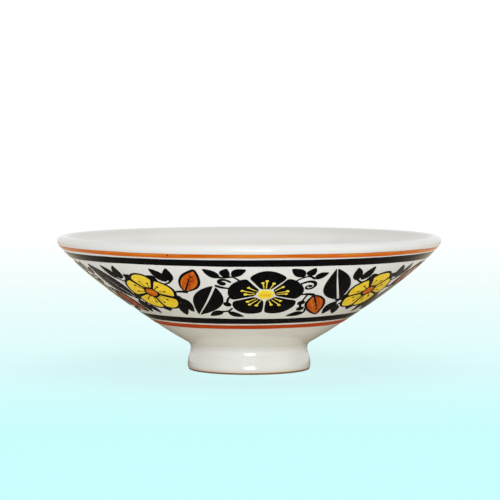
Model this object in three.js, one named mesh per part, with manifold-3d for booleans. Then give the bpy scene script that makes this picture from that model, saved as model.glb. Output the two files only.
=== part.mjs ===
// A shallow ceramic tea bowl: a thrown clay bowl on a turned foot ring, glazed inside and out,
// with a painted band of blossoms and leaves between two pairs of lines on its outer wall.
// Millimetres. The bowl stands on z = 0 and its axis is +Z. Azimuth 0 faces -Y and grows towards +X.
import * as THREE from 'three';
import { mergeVertices } from 'three/addons/utils/BufferGeometryUtils.js';
import Module from 'manifold-3d';

// Outer shape, measured on the glaze
const RIM_RADIUS = 77.5; // widest, at the lip
const HEIGHT = 54.25; // top of the lip above the resting ring
const LIP_THICKNESS = 4.4; // the lip is a half round of this thickness
const LIP_SLOPE = 48; // degrees above level of the wall just under the lip
const FOOT_SLOPE = 31.5; // degrees above level of the wall where it leaves the foot
const NECK_RADIUS = 23.5; // corner between the foot's side and the wall, before its fillet
const NECK_HEIGHT = 10.2;
const NECK_FILLET = 3;
const FOOT_RADIUS = 25; // the foot's side flares to this radius at z = 0, before its bevel

// Inside shape
const WALL_THICKNESS = 5.6; // glazed wall at the edge of the floor
const FLOOR_EDGE = 8; // along the outer wall from the neck to the point under the floor's edge
const FLOOR_THICKNESS = 5.2; // clay and upper glaze over the middle of the foot's well

// Foot ring
const JOINT_DROP = 0.65; // the ring is luted on this far below the neck's fillet, at the well's ceiling
const FOOT_WALL = 4; // clay thickness of the ring at the luted joint
const WELL_DRAFT = 0.8; // how much wider the well is at its mouth
const OUTER_BEVEL = 0.4; // width of the bevels on both sides of the resting ring
const INNER_BEVEL = 0.7;
const BARE_EDGE = 0.9; // height of clay left bare above the resting ring

// Coats
const GLAZE = 0.5;
const ENAMEL = 0.3;
const ENAMEL_SEAT = 0.05; // clearance between a painted pad and the glaze under it

// Lines, as widths and gaps measured along the wall
const UPPER_ORANGE_WIDTH = 2; // its upper edge is where the wall rounds into the lip
const UPPER_GAP = 1.1;
const UPPER_BLACK_WIDTH = 3;
const LOWER_BLACK_WIDTH = 3.9;
const LOWER_GAP = 1.25;
const LOWER_ORANGE_WIDTH = 2.7;
const LOWER_ORANGE_START = 15.8; // along the wall from the neck

// Painted band
const REPEATS = 4; // each repeat is a black blossom, a yellow blossom and the leaves between
const FIRST_AZIMUTH = 6; // degrees, middle of the first black blossom
const LEAF_ROOM = 19.6; // free width between two blossoms, along the middle of the band
const BLOSSOM_STEP = 2.8; // how much larger a black blossom's radius is than a yellow one's
const PETALS = 5;
const PETAL_FULLNESS = 0.54; // radius of a petal's round tip as a share of the blossom's
const LEAF_TILT = 62; // degrees of a leaf above the direction of the lines
const LEAF_MARGIN = 2; // between a leaf's tip and the black line it points to
const BLACK_LEAF_GAP = 12.4; // between a leaf's stalk and the other black line
const ORANGE_LEAF_GAP = 18.6;
const BLACK_LEAF_WIDTH = 11.5;
const ORANGE_LEAF_WIDTH = 8.5;
const LEAF_SPREAD = 3.6; // between the middles of the two leaves of a gap, round the bowl

// Facets
const SEGMENTS = 48; // round the axis
const WALL_STEPS = 6;
const ARC_STEPS = 4;
const PETAL_STEPS = 3;
const LEAF_STEPS = 6;

const wasm = await Module();
wasm.setup();

const radians = THREE.MathUtils.degToRad;

// A place on the bowl's surface in the plane of its section: x is the radius, y the height, and the
// normal points out of the bowl. Outlines run up the outside, over the lip and down the inside.
function station(curve, share) {
  const point = curve.getPointAt(share);
  const tangent = curve.getTangentAt(share);
  return { point, tangent, normal: new THREE.Vector2(tangent.y, -tangent.x) };
}

function stations(curve, shares) {
  return shares.map((share) => station(curve, share));
}

function evenShares(steps) {
  return Array.from({ length: steps + 1 }, (_, i) => i / steps);
}

function raised({ point, normal }, distance) {
  return point.clone().addScaledVector(normal, distance);
}

// Where the line through p with direction a meets the line through q with direction b
function meeting(p, a, q, b) {
  const share = ((q.x - p.x) * b.y - (q.y - p.y) * b.x) / (a.x * b.y - a.y * b.x);
  return p.clone().addScaledVector(a, share);
}

function direction(degrees) {
  return new THREE.Vector2(Math.cos(radians(degrees)), Math.sin(radians(degrees)));
}

// Outline of the glazed bowl, one curve for each stretch
const lipRadius = LIP_THICKNESS / 2;
const lipCentre = new THREE.Vector2(RIM_RADIUS - lipRadius, HEIGHT - lipRadius);
const lipOuter = new THREE.EllipseCurve(
  lipCentre.x, lipCentre.y, lipRadius, lipRadius, radians(LIP_SLOPE - 90), Math.PI / 2);
const lipInner = new THREE.EllipseCurve(
  lipCentre.x, lipCentre.y, lipRadius, lipRadius, Math.PI / 2, radians(LIP_SLOPE + 90));

const footCorner = new THREE.Vector2(FOOT_RADIUS, 0);
const neckCorner = new THREE.Vector2(NECK_RADIUS, NECK_HEIGHT);
const footDirection = neckCorner.clone().sub(footCorner).normalize();
const footNormal = new THREE.Vector2(footDirection.y, -footDirection.x);
const neckTurn = footDirection.angle() - radians(FOOT_SLOPE);
const neckTangent = NECK_FILLET * Math.tan(neckTurn / 2);
const neckStart = neckCorner.clone().addScaledVector(footDirection, -neckTangent);
const neckEnd = neckCorner.clone().addScaledVector(direction(FOOT_SLOPE), neckTangent);
const neck = new THREE.QuadraticBezierCurve(neckStart, neckCorner, neckEnd);

const wallEnd = lipOuter.getPoint(0);
const wallBend = meeting(neckEnd, direction(FOOT_SLOPE), wallEnd, direction(LIP_SLOPE));
const wall = new THREE.QuadraticBezierCurve(neckEnd, wallBend, wallEnd);
const wallLength = wall.getLength();

const wellDepth = neckStart.y - JOINT_DROP;
const innerStart = lipInner.getPoint(1);
const floorHeight = wellDepth + FLOOR_THICKNESS;
const underFloorEdge = station(wall, FLOOR_EDGE / wallLength);
const floorEdge = raised(underFloorEdge, -WALL_THICKNESS);
const innerBend = meeting(innerStart, direction(LIP_SLOPE), floorEdge, underFloorEdge.tangent);
const innerWall = new THREE.QuadraticBezierCurve(innerStart, innerBend, floorEdge);
const floorMiddle = new THREE.Vector2(0, floorHeight);
const floorBend = meeting(floorEdge, underFloorEdge.tangent, floorMiddle, new THREE.Vector2(1, 0));
const floor = new THREE.QuadraticBezierCurve(floorEdge, floorBend, floorMiddle);

// The foot's side at a height of its glaze, and at a height of the clay under the glaze
function footSideAt(height) {
  const point = meeting(footCorner, footDirection, new THREE.Vector2(0, height), new THREE.Vector2(1, 0));
  return { point, tangent: footDirection, normal: footNormal };
}
const glazeEdge = footSideAt(BARE_EDGE);
const footJoint = footSideAt(wellDepth + footNormal.y * GLAZE);

// Edges of the painted lines, as distances along the wall from the neck
const lowerOrange = [LOWER_ORANGE_START, LOWER_ORANGE_START + LOWER_ORANGE_WIDTH];
const lowerBlack = [lowerOrange[1] + LOWER_GAP, lowerOrange[1] + LOWER_GAP + LOWER_BLACK_WIDTH];
const upperOrange = [wallLength - UPPER_ORANGE_WIDTH, wallLength];
const upperBlack = [upperOrange[0] - UPPER_GAP - UPPER_BLACK_WIDTH, upperOrange[0] - UPPER_GAP];
const bandStart = lowerBlack[1];
const bandWidth = upperBlack[0] - bandStart;
const bandStops = [bandStart, bandStart + bandWidth / 3, bandStart + (bandWidth * 2) / 3, upperBlack[0]];

const onWallAt = (distance) => station(wall, distance / wallLength);
const clayWall = stations(wall, evenShares(WALL_STEPS));
const glazedWall = [
  0, ...lowerOrange, lowerBlack[0], ...bandStops, upperBlack[1], ...upperOrange,
].map(onWallAt);
const footSide = [glazeEdge, footJoint];
const neckStops = stations(neck, evenShares(2)).slice(0, -1);
const widest = (90 - LIP_SLOPE) / (180 - LIP_SLOPE); // the lip's widest point, as a share of its outer arc
const outerLip = [
  station(lipOuter, widest / 2),
  ...evenShares(ARC_STEPS - 1).map((share) => station(lipOuter, widest + (1 - widest) * share)),
];
const inside = [
  outerLip.at(-1),
  ...stations(lipInner, evenShares(2)).slice(1),
  ...stations(innerWall, evenShares(WALL_STEPS - 1)).slice(1),
  ...stations(floor, evenShares(ARC_STEPS)).slice(1),
];
const onGlaze = (place) => place.point;
const onClay = (place) => raised(place, -GLAZE);

// A closed solid of revolution. The profile runs anticlockwise with the radius to the right.
function turned(profile) {
  const isOpen = profile[0].x > 0 || profile.at(-1).x > 0;
  const geometry = new THREE.LatheGeometry(isOpen ? [...profile, profile[0]] : profile, SEGMENTS);
  return geometry.rotateX(Math.PI / 2);
}

function mesh(name, geometry, finish) {
  const made = new THREE.Mesh(geometry, finish);
  made.name = name;
  return made;
}

// Finishes
const finish = (color, roughness) => new THREE.MeshStandardMaterial({ color, roughness, metalness: 0 });
const bareClay = finish('#8a6a4c', 0.85);
const whiteGlaze = finish('#e6e2d8', 0.15);
const blackEnamel = finish('#121216', 0.2);
const upperOrangeEnamel = finish('#d56e1a', 0.25);
const lowerOrangeEnamel = finish('#bb4a16', 0.25);
const yellowEnamel = finish('#e3bf3a', 0.25);

// Clay
function clayBowl() {
  return turned([
    new THREE.Vector2(0, wellDepth),
    onClay(footJoint),
    ...[...neckStops, ...clayWall, ...outerLip, ...inside.slice(1)].map(onClay),
  ]);
}

const wellRadius = onClay(footJoint).x - FOOT_WALL;
const wellMouth = wellRadius + WELL_DRAFT;

function footRing() {
  const edge = onClay(glazeEdge);
  return turned([
    new THREE.Vector2(wellMouth + INNER_BEVEL, 0),
    new THREE.Vector2(edge.x - OUTER_BEVEL, 0),
    edge,
    onClay(footJoint),
    new THREE.Vector2(wellRadius, wellDepth),
    new THREE.Vector2(wellMouth, BARE_EDGE),
  ]);
}

// Glaze coats, each lying on the clay
function insideGlaze() {
  return turned([...inside.map(onClay).reverse(), ...inside.map(onGlaze)]);
}

function outsideGlaze() {
  return turned([
    ...[...footSide, ...neckStops, ...glazedWall, ...outerLip].map(onGlaze),
    ...[...footSide, ...neckStops, ...clayWall, ...outerLip].map(onClay).reverse(),
  ]);
}

function footWellGlaze() {
  return turned([
    new THREE.Vector2(0, wellDepth - GLAZE),
    new THREE.Vector2(wellRadius - GLAZE, wellDepth - GLAZE),
    new THREE.Vector2(wellMouth - GLAZE, BARE_EDGE),
    new THREE.Vector2(wellMouth, BARE_EDGE),
    new THREE.Vector2(wellRadius, wellDepth),
    new THREE.Vector2(0, wellDepth),
  ]);
}

// Enamel between two stops on the wall, from one height above the glaze to another
function enamelRing(stops, low, high) {
  const places = stops.map(onWallAt);
  return turned([
    ...places.map((place) => raised(place, high)),
    ...places.map((place) => raised(place, low)).reverse(),
  ]);
}

function toSolid(geometry) {
  const bare = geometry.clone();
  bare.deleteAttribute('normal');
  bare.deleteAttribute('uv');
  const merged = mergeVertices(bare);
  return new wasm.Manifold(new wasm.Mesh({
    numProp: 3,
    vertProperties: merged.attributes.position.array,
    triVerts: new Uint32Array(merged.index.array),
  }));
}

function toGeometry(solid) {
  const { vertProperties, triVerts } = solid.getMesh();
  const geometry = new THREE.BufferGeometry();
  geometry.setAttribute('position', new THREE.BufferAttribute(vertProperties, 3));
  geometry.setIndex(new THREE.BufferAttribute(triVerts, 1));
  geometry.computeVertexNormals();
  return geometry;
}

// The painted pads are cut from one ring of enamel over the whole band
const bandEnamel = toSolid(enamelRing(bandStops, ENAMEL_SEAT, ENAMEL_SEAT + ENAMEL));

// Cuts a flat outline out of the band's enamel. Its x runs round the bowl and its y up the wall,
// and its middle lies at an azimuth in degrees and at a height along the wall above the lower black line.
function painted(outline, azimuth, height, steps) {
  const reach = bandWidth / 6;
  const prism = new THREE.ExtrudeGeometry(outline, {
    depth: 2 * reach, bevelEnabled: false, curveSegments: steps,
  });
  const { point, tangent, normal } = onWallAt(bandStart + height);
  const sine = Math.sin(radians(azimuth));
  const cosine = Math.cos(radians(azimuth));
  const swing = (radius, level) => new THREE.Vector3(radius * sine, -radius * cosine, level);
  const placement = new THREE.Matrix4().makeBasis(
    new THREE.Vector3(cosine, sine, 0), swing(tangent.x, tangent.y), swing(normal.x, normal.y));
  prism.translate(0, 0, -reach).applyMatrix4(placement.setPosition(swing(point.x, point.y)));
  return toGeometry(toSolid(prism).intersect(bandEnamel));
}

// A blossom of round petals, one of them pointing up the wall
function blossomOutline(radius) {
  const tip = radius * PETAL_FULLNESS;
  const reach = radius - tip;
  const half = Math.PI / PETALS;
  const notch = reach * Math.cos(half) + Math.sqrt(tip ** 2 - (reach * Math.sin(half)) ** 2);
  const sweep = Math.atan2(notch * Math.sin(half), notch * Math.cos(half) - reach);
  const outline = new THREE.Shape();
  for (let petal = 0; petal < PETALS; petal += 1) {
    const turn = Math.PI / 2 + petal * 2 * half;
    const middle = new THREE.Vector2(Math.cos(turn), Math.sin(turn)).multiplyScalar(reach);
    outline.absarc(middle.x, middle.y, tip, turn - sweep, turn + sweep);
  }
  return outline;
}

// A pointed leaf about its middle, turned anticlockwise by a tilt in degrees
function leafOutline(length, width, tilt) {
  const along = direction(tilt);
  const across = new THREE.Vector2(-along.y, along.x);
  const at = (x, y) => along.clone().multiplyScalar(x).addScaledVector(across, y);
  const [stalk, left, point, right] = [
    at(-length / 2, 0), at(0, width), at(length / 2, 0), at(0, -width),
  ];
  const outline = new THREE.Shape();
  outline.moveTo(stalk.x, stalk.y);
  outline.quadraticCurveTo(right.x, right.y, point.x, point.y);
  outline.quadraticCurveTo(left.x, left.y, stalk.x, stalk.y);
  return outline;
}

// One repeat of the band: two blossoms, and after each a black leaf and an orange one
function paintRepeat(index) {
  const start = FIRST_AZIMUTH + (index * 360) / REPEATS;
  const pitch = 180 / REPEATS;
  const middleRadius = onWallAt(bandStart + bandWidth / 2).point.x;
  const degreesAcross = (distance) => THREE.MathUtils.radToDeg(distance / middleRadius);
  const bothRadii = radians(pitch) * middleRadius - LEAF_ROOM;
  const blackRadius = (bothRadii + BLOSSOM_STEP) / 2;
  const yellowRadius = bothRadii - blackRadius;
  // How far each leaf reaches up the wall, and from the line it points to down to its middle
  const blackRise = bandWidth - LEAF_MARGIN - BLACK_LEAF_GAP;
  const orangeRise = bandWidth - LEAF_MARGIN - ORANGE_LEAF_GAP;
  const blackMiddle = LEAF_MARGIN + blackRise / 2;
  const orangeMiddle = LEAF_MARGIN + orangeRise / 2;
  // The free space between the blossoms lies nearer to the smaller one
  const shift = degreesAcross(BLOSSOM_STEP / 2);
  const spread = degreesAcross(LEAF_SPREAD / 2);
  const firstGap = start + pitch / 2 + shift;
  const secondGap = start + (pitch * 3) / 2 - shift;

  const blossom = (radius, azimuth) => (
    painted(blossomOutline(radius), azimuth, bandWidth / 2, PETAL_STEPS));
  const leaf = (rise, width, tilt, azimuth, height) => (
    painted(leafOutline(rise / Math.sin(radians(LEAF_TILT)), width, tilt), azimuth, height, LEAF_STEPS));
  const blackLeaf = (...place) => leaf(blackRise, BLACK_LEAF_WIDTH, ...place);
  const orangeLeaf = (...place) => leaf(orangeRise, ORANGE_LEAF_WIDTH, ...place);

  const number = index + 1;
  const pieces = new THREE.Group();
  pieces.add(
    mesh(`black_blossom_${number}`, blossom(blackRadius, start), blackEnamel),
    mesh(`yellow_blossom_${number}`, blossom(yellowRadius, start + pitch), yellowEnamel),
    mesh(`black_leaf_${2 * number - 1}`,
      blackLeaf(180 - LEAF_TILT, firstGap + spread, bandWidth - blackMiddle), blackEnamel),
    mesh(`orange_leaf_${2 * number - 1}`,
      orangeLeaf(-LEAF_TILT, firstGap - spread, orangeMiddle), upperOrangeEnamel),
    mesh(`black_leaf_${2 * number}`,
      blackLeaf(180 + LEAF_TILT, secondGap + spread, blackMiddle), blackEnamel),
    mesh(`orange_leaf_${2 * number}`,
      orangeLeaf(LEAF_TILT, secondGap - spread, bandWidth - orangeMiddle), upperOrangeEnamel),
  );
  return pieces;
}

const bowl = new THREE.Group();
bowl.add(
  mesh('clay_bowl', clayBowl(), bareClay),
  mesh('foot_ring', footRing(), bareClay),
  mesh('inside_glaze', insideGlaze(), whiteGlaze),
  mesh('outside_glaze', outsideGlaze(), whiteGlaze),
  mesh('foot_well_glaze', footWellGlaze(), whiteGlaze),
  mesh('upper_orange_line', enamelRing(upperOrange, 0, ENAMEL), upperOrangeEnamel),
  mesh('upper_black_line', enamelRing(upperBlack, 0, ENAMEL), blackEnamel),
  mesh('lower_black_line', enamelRing(lowerBlack, 0, ENAMEL), blackEnamel),
  mesh('lower_orange_line', enamelRing(lowerOrange, 0, ENAMEL), lowerOrangeEnamel),
);
for (let index = 0; index < REPEATS; index += 1) {
  bowl.add(paintRepeat(index));
}

export default bowl;
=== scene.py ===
import math
import random

import bpy
import numpy as np
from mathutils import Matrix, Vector


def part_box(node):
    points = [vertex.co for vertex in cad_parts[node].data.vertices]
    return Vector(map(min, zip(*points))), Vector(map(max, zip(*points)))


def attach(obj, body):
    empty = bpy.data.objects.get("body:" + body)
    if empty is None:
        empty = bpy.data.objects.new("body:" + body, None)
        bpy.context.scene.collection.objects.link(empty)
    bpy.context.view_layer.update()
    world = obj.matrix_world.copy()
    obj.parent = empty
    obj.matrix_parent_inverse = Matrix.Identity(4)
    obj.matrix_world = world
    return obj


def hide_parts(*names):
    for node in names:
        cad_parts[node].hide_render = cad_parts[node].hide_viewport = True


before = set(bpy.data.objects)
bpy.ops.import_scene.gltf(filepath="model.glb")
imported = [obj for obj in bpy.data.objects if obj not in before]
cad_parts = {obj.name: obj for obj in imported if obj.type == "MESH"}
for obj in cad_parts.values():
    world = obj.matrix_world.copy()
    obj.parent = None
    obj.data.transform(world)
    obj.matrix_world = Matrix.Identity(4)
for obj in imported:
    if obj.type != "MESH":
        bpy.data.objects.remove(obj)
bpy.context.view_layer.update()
scene = bpy.context.scene
MM = 0.001

# Camera
# A long lens a little above the rim, square to the side of the bowl that faces -Y. Sizes here and
# below are in millimetres, which MM turns into metres.
CAMERA_DISTANCE = 850
CAMERA_HEIGHT = 95.25
CAMERA_ASIDE = 0.35
CAMERA_PITCH = 0.05545
LENS = 151.3


def place_object(name, data):
    """A new object in the scene."""
    made = bpy.data.objects.new(name, data)
    scene.collection.objects.link(made)
    return made


camera = place_object("camera", bpy.data.cameras.new("camera"))
camera.location = (CAMERA_ASIDE * MM, -CAMERA_DISTANCE * MM, CAMERA_HEIGHT * MM)
camera.rotation_euler = (math.pi / 2 - CAMERA_PITCH, 0, 0)
camera.data.lens = LENS
camera.data.clip_start = 0.05
camera.data.clip_end = 60
scene.camera = camera
scene.view_settings.view_transform = "Standard"

# Clay bowl
# The body: stoneware clay thrown on the wheel and turned to shape when leather hard. It lies
# under the glaze all over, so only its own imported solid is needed, in the colour of fired clay.
CLAY = "#8d6b4e"
CLAY_DARK = "#5b3f2c"
CLAY_GRAIN = 0.7
SCORCH_SIZE = 14


def linear(hex_colour):
    """The linear colour of an sRGB hex value."""
    channels = [int(hex_colour[i:i + 2], 16) / 255 for i in (1, 3, 5)]
    return tuple(c / 12.92 if c <= 0.04045 else ((c + 0.055) / 1.055) ** 2.4 for c in channels) + (1,)


def add(tree, kind, inputs=None, **settings):
    """Adds a shader node. An input's value is a number, a hex colour, an output to link, or another
    node, which is linked by its first output in use."""
    node = tree.nodes.new("ShaderNode" + kind)
    for name, value in settings.items():
        setattr(node, name, value)
    for name, value in (inputs or {}).items():
        if isinstance(value, str):
            value = linear(value)
        if isinstance(value, bpy.types.Node):
            value = next(output for output in value.outputs if output.enabled)
        if isinstance(value, bpy.types.NodeSocket):
            tree.links.new(value, node.inputs[name])
        else:
            node.inputs[name].default_value = value
    return node


def new_material(name):
    """An empty node material and its tree."""
    material = bpy.data.materials.new(name)
    material.use_nodes = True
    material.node_tree.nodes.clear()
    return material, material.node_tree


# Fired stoneware: rough, with sand grains that show as darker points and small pits. The grains
# are drawn coarser than real sand, so that they show.
bare_stoneware, tree = new_material("bare_stoneware")
place = add(tree, "TexCoord").outputs["Object"]
grain = add(tree, "TexNoise", {"Vector": place, "Scale": 1 / (CLAY_GRAIN * MM), "Detail": 4})
scorch = add(tree, "TexNoise", {"Vector": place, "Scale": 1 / (SCORCH_SIZE * MM)})
sandy = add(tree, "MapRange", {"Value": grain, "From Min": 0.35, "From Max": 0.72, "To Max": 0.55})
scorched = add(tree, "MapRange", {"Value": scorch, "From Min": 0.4, "From Max": 0.7, "To Max": 0.45})
darker = add(tree, "Math", {0: sandy, 1: scorched}, operation="MAXIMUM")
colour = add(tree, "Mix", {"Factor": darker, "A": CLAY, "B": CLAY_DARK}, data_type="RGBA")
pits = add(tree, "Bump", {"Height": grain, "Strength": 0.6, "Distance": 0.1 * MM})
finish = add(tree, "BsdfPrincipled", {"Base Color": colour, "Roughness": 0.85, "Normal": pits})
add(tree, "OutputMaterial", {"Surface": finish})

clay_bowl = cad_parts["clay_bowl"]
clay_bowl.data.materials.clear()
clay_bowl.data.materials.append(bare_stoneware)

# Foot ring
# A ring of the same clay, turned under the bowl. Its resting edge is wiped free of glaze before
# the firing, so a thin line of bare brown clay shows under the glaze.
SEGMENTS = 256
FOOT_RADIUS = 25
NECK_RADIUS = 23.5
NECK_HEIGHT = 10.2
GLAZE = 0.5
BARE_EDGE = 0.7
BARE_SIDE = 0.55 * GLAZE
UNDER_GLAZE = 0.3
OUTER_BEVEL = 0.2
INNER_BEVEL = 0.7
EDGE_ROUND = 0.25
WELL_DRAFT = 0.8
ON_AXIS = 1e-6


def bezier(start, bend, end, steps):
    """A curve from start to end that leans towards bend."""
    share = np.linspace(0, 1, steps + 1)[:, None]
    return (1 - share) ** 2 * start + 2 * share * (1 - share) * bend + share ** 2 * end


def flowing(points, steps):
    """A smooth line that passes through every point."""
    points = np.array(points, float)
    ends = np.vstack([2 * points[0] - points[1], points, 2 * points[-1] - points[-2]])
    share = np.linspace(0, 1, steps, endpoint=False)[:, None]
    line = [
        b + share * (c - a) / 2 + share ** 2 * (a - 2.5 * b + 2 * c - d / 2)
        + share ** 3 * (1.5 * b - 1.5 * c + (d - a) / 2)
        for a, b, c, d in zip(ends, ends[1:], ends[2:], ends[3:])]
    return np.vstack([*line, points[-1:]])


def full_turn(count):
    """Even steps of a full turn, in radians."""
    return np.linspace(0, 2 * math.pi, count, endpoint=False)


def unit(turn):
    """Unit vectors at turns in radians."""
    return np.stack([np.cos(turn), np.sin(turn)], -1)


def heading(line):
    """The unit direction of a line at each of its points."""
    ahead = np.gradient(line, axis=0)
    return ahead / np.linalg.norm(ahead, axis=1)[:, None]


def normals_of(section):
    """Unit normals of a section that runs up the outside, pointing out of the bowl."""
    run = heading(section)
    return np.stack([run[:, 1], -run[:, 0]], 1)


def rounded(corners, radius, steps=4):
    """A closed outline with its corners cut back and bent round."""
    points = []
    for before, corner, after in zip(np.roll(corners, 1, 0), corners, np.roll(corners, -1, 0)):
        back, on = before - corner, after - corner
        cut = min(radius, 0.4 * np.linalg.norm(back), 0.4 * np.linalg.norm(on))
        start = corner + back / np.linalg.norm(back) * cut
        end = corner + on / np.linalg.norm(on) * cut
        points.append(bezier(start, corner, end, steps))
    return np.vstack(points)


def new_piece(name, points, faces, material):
    """A smooth mesh from points in millimetres, which rides on the bowl's one body."""
    mesh = bpy.data.meshes.new(name)
    mesh.from_pydata((np.asarray(points) * MM).tolist(), [], faces, shade_flat=False)
    mesh.materials.append(material)
    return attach(place_object(name, mesh), "root")


def turned(name, section, material, swell=None):
    """A solid of revolution. The section runs anticlockwise with the radius to the right, and it
    closes on itself or has both ends on the axis. swell moves points along the section's normal."""
    azimuth = full_turn(SEGMENTS)
    lift = np.zeros((len(section), SEGMENTS)) if swell is None else swell(azimuth)
    points, rows = [], []
    for (radius, height), (out, up), rise in zip(section, normals_of(section), lift):
        first = len(points)
        if radius < ON_AXIS:
            points.append((0, 0, height + up * rise[0]))
            rows.append([first] * SEGMENTS)
            continue
        r = radius + out * rise
        points += zip(r * np.sin(azimuth), -r * np.cos(azimuth), height + up * rise)
        rows.append(list(range(first, first + SEGMENTS)))
    faces = []
    for low, high in zip(rows, rows[1:] if section[0][0] < ON_AXIS else rows[1:] + rows[:1]):
        for j in range(SEGMENTS):
            k = (j + 1) % SEGMENTS
            corners = dict.fromkeys([low[j], low[k], high[k], high[j]])
            if len(corners) > 2:
                faces.append(list(corners))
    return new_piece(name, points, faces, material)


well_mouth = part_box("foot_well_glaze")[1].x / MM
joint_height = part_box("foot_ring")[1].z / MM


def foot_side(height, inset=0):
    """The foot's side at a height, on the glaze or inset from it."""
    lean = (NECK_RADIUS - FOOT_RADIUS) / NECK_HEIGHT
    return np.array([FOOT_RADIUS + lean * height - inset * math.hypot(1, lean), height])


ring_corners = np.array([
    [well_mouth + INNER_BEVEL, 0],
    [foot_side(0, BARE_SIDE)[0] - OUTER_BEVEL, 0],
    foot_side(BARE_EDGE, BARE_SIDE),
    foot_side(BARE_EDGE + UNDER_GLAZE, GLAZE),
    foot_side(joint_height, GLAZE),
    [well_mouth - WELL_DRAFT, joint_height],
    [well_mouth, BARE_EDGE],
])
foot_ring = turned("turned_foot_ring", rounded(ring_corners, EDGE_ROUND), bare_stoneware)
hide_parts("foot_ring")

# Glaze coat
# One coat of white glaze, poured on and fired. It runs from a rounded bead above the bare edge up
# the outside, over the lip and down to the inside's middle, a little out of round from throwing.
LIP_THICKNESS = 4.4
LIP_SLOPE = 48
FOOT_SLOPE = 31.5
NECK_FILLET = 3
WALL_THICKNESS = 5.6
FLOOR_EDGE = 8
FOOT_STEPS, WALL_STEPS, LIP_STEPS, INNER_STEPS, FLOOR_STEPS = 5, 96, 40, 84, 30
PAINTED_LIP = 14
HIDDEN_STEP = 8
HIDDEN_SIDE, HIDDEN_END = 0.98 * GLAZE, 0.99 * GLAZE
OUT_OF_ROUND = 0.16
TRUE_FLOOR = 15
THROWING_RIDGE = 0.02
THROWING_PITCH = 3.7
RIDGES_START, RIDGES_FADE_IN = 9, 12
RIDGES_END, RIDGES_FADE_OUT = 1, 8
WHITE = "#eae8e5"
WHITE_WARM = "#e7e4dd"
WHITE_THIN_AND_SHADED = "#dcdad4"
# The lip's grey: partly thinner glaze, partly painted shade that keeps the lip no brighter than the inside
WHITE_SCORCHED = "#dcb48c"
IRON_SPECK = "#6a4a35"
LIP_FADES = 2.5
END_FADES = 1.1
DRIFT_SIZE = 26
SPECK_SPACING = 7
PEEL_SIZE = 5
PEEL_DEPTH = 0.03

# The foot's side, as radius and height: it bulges above the bare edge and pulls in under the neck
FOOT_SIDE = [
    (24.97, 1.35), (25.04, 2), (25, 2.8), (24.9, 3.7), (24.6, 5), (24.24, 6.1), (23.99, 6.75),
    (23.86, 7.5), (23.79, 8.2), (23.75, 8.85), (23.86, 9.65), (24.45, 10.7)]

# Waves round the bowl: share, cycles, phase, and the run up the wall that turns each by a radian
ROUND_WAVES = [(0.5, 2, 0.7, math.inf), (0.3, 3, -1.9, 31), (0.2, 5, 2, 17)]


def meeting(p, a, q, b):
    """Where the line through p along a meets the line through q along b."""
    return p + a * ((q[0] - p[0]) * b[1] - (q[1] - p[1]) * b[0]) / (a[0] * b[1] - a[1] * b[0])


def direction(degrees):
    return unit(math.radians(degrees))


def run_along(line):
    """The distance along a line to each of its points."""
    return np.concatenate([[0], np.cumsum(np.linalg.norm(np.diff(line, axis=0), axis=1))])


coat_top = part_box("outside_glaze")[1]
floor_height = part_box("inside_glaze")[0].z / MM + GLAZE
lip_radius = LIP_THICKNESS / 2
lip_centre = np.array([coat_top.x, coat_top.z]) / MM - lip_radius
lip = lip_centre + lip_radius * unit(np.radians(np.linspace(LIP_SLOPE - 90, LIP_SLOPE + 90, LIP_STEPS + 1)))

neck_corner = np.array([NECK_RADIUS, NECK_HEIGHT])
foot_lean = neck_corner - foot_side(0)
neck_turn = math.atan2(foot_lean[1], foot_lean[0]) - math.radians(FOOT_SLOPE)
neck_end = neck_corner + direction(FOOT_SLOPE) * NECK_FILLET * math.tan(neck_turn / 2)
wall_bend = meeting(neck_end, direction(FOOT_SLOPE), lip[0], direction(LIP_SLOPE))
wall = bezier(neck_end, wall_bend, lip[0], WALL_STEPS)

# The painted side, from the neck up the wall and a little way round the lip. A run is a distance
# along it from the neck.
side = np.vstack([wall, lip[1:PAINTED_LIP]])
side_run = run_along(side)
side_normal = normals_of(side)
wall_length = side_run[len(wall) - 1]


def at_run(values, run):
    """What the painted side's points have in the columns of values, at a run."""
    return np.array([np.interp(run, side_run, column) for column in values.T])


under_normal = at_run(side_normal, FLOOR_EDGE)
under_run = np.array([-under_normal[1], under_normal[0]])
floor_edge = at_run(side, FLOOR_EDGE) - under_normal * WALL_THICKNESS
floor_middle = np.array([0, floor_height])
inner_bend = meeting(lip[-1], direction(LIP_SLOPE), floor_edge, under_run)
floor_bend = meeting(floor_edge, under_run, floor_middle, np.array([1, 0]))

# The coat's section, which begins in a bead over the bare edge
outer_side = np.vstack([
    flowing([
        foot_side(BARE_EDGE - 0.05, 0.5 * GLAZE), foot_side(BARE_EDGE, 0.1 * GLAZE), *FOOT_SIDE,
        neck_end, wall[4]], FOOT_STEPS)[:-FOOT_STEPS - 1],
    wall[:-1]])
coat = np.vstack([
    outer_side, lip[:-1],
    bezier(lip[-1], inner_bend, floor_edge, INNER_STEPS)[:-1],
    bezier(floor_edge, floor_bend, floor_middle, FLOOR_STEPS)])
coat_run = run_along(coat)
coat_run -= coat_run[len(outer_side) - len(wall) + 1]

# The side on the clay is hidden, so it has fewer points
skin = slice(2, len(coat), HIDDEN_STEP)
clay_side = coat[skin] - normals_of(coat)[skin] * HIDDEN_SIDE
clay_side = np.vstack([
    [[0, floor_height - GLAZE]], clay_side[::-1], [foot_side(BARE_EDGE, HIDDEN_END)]])

# How far the wall swells off its true curve, by the run up it
wall_swell = flowing([
    (-8, 0), (-3, 0.03), (3, 0.13), (9, 0.27), (15, 0.18), (21, 0.11), (30, 0.14),
    (wall_length - 12, 0.12), (wall_length - 4, 0.02), (wall_length, 0)], steps=8)


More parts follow.
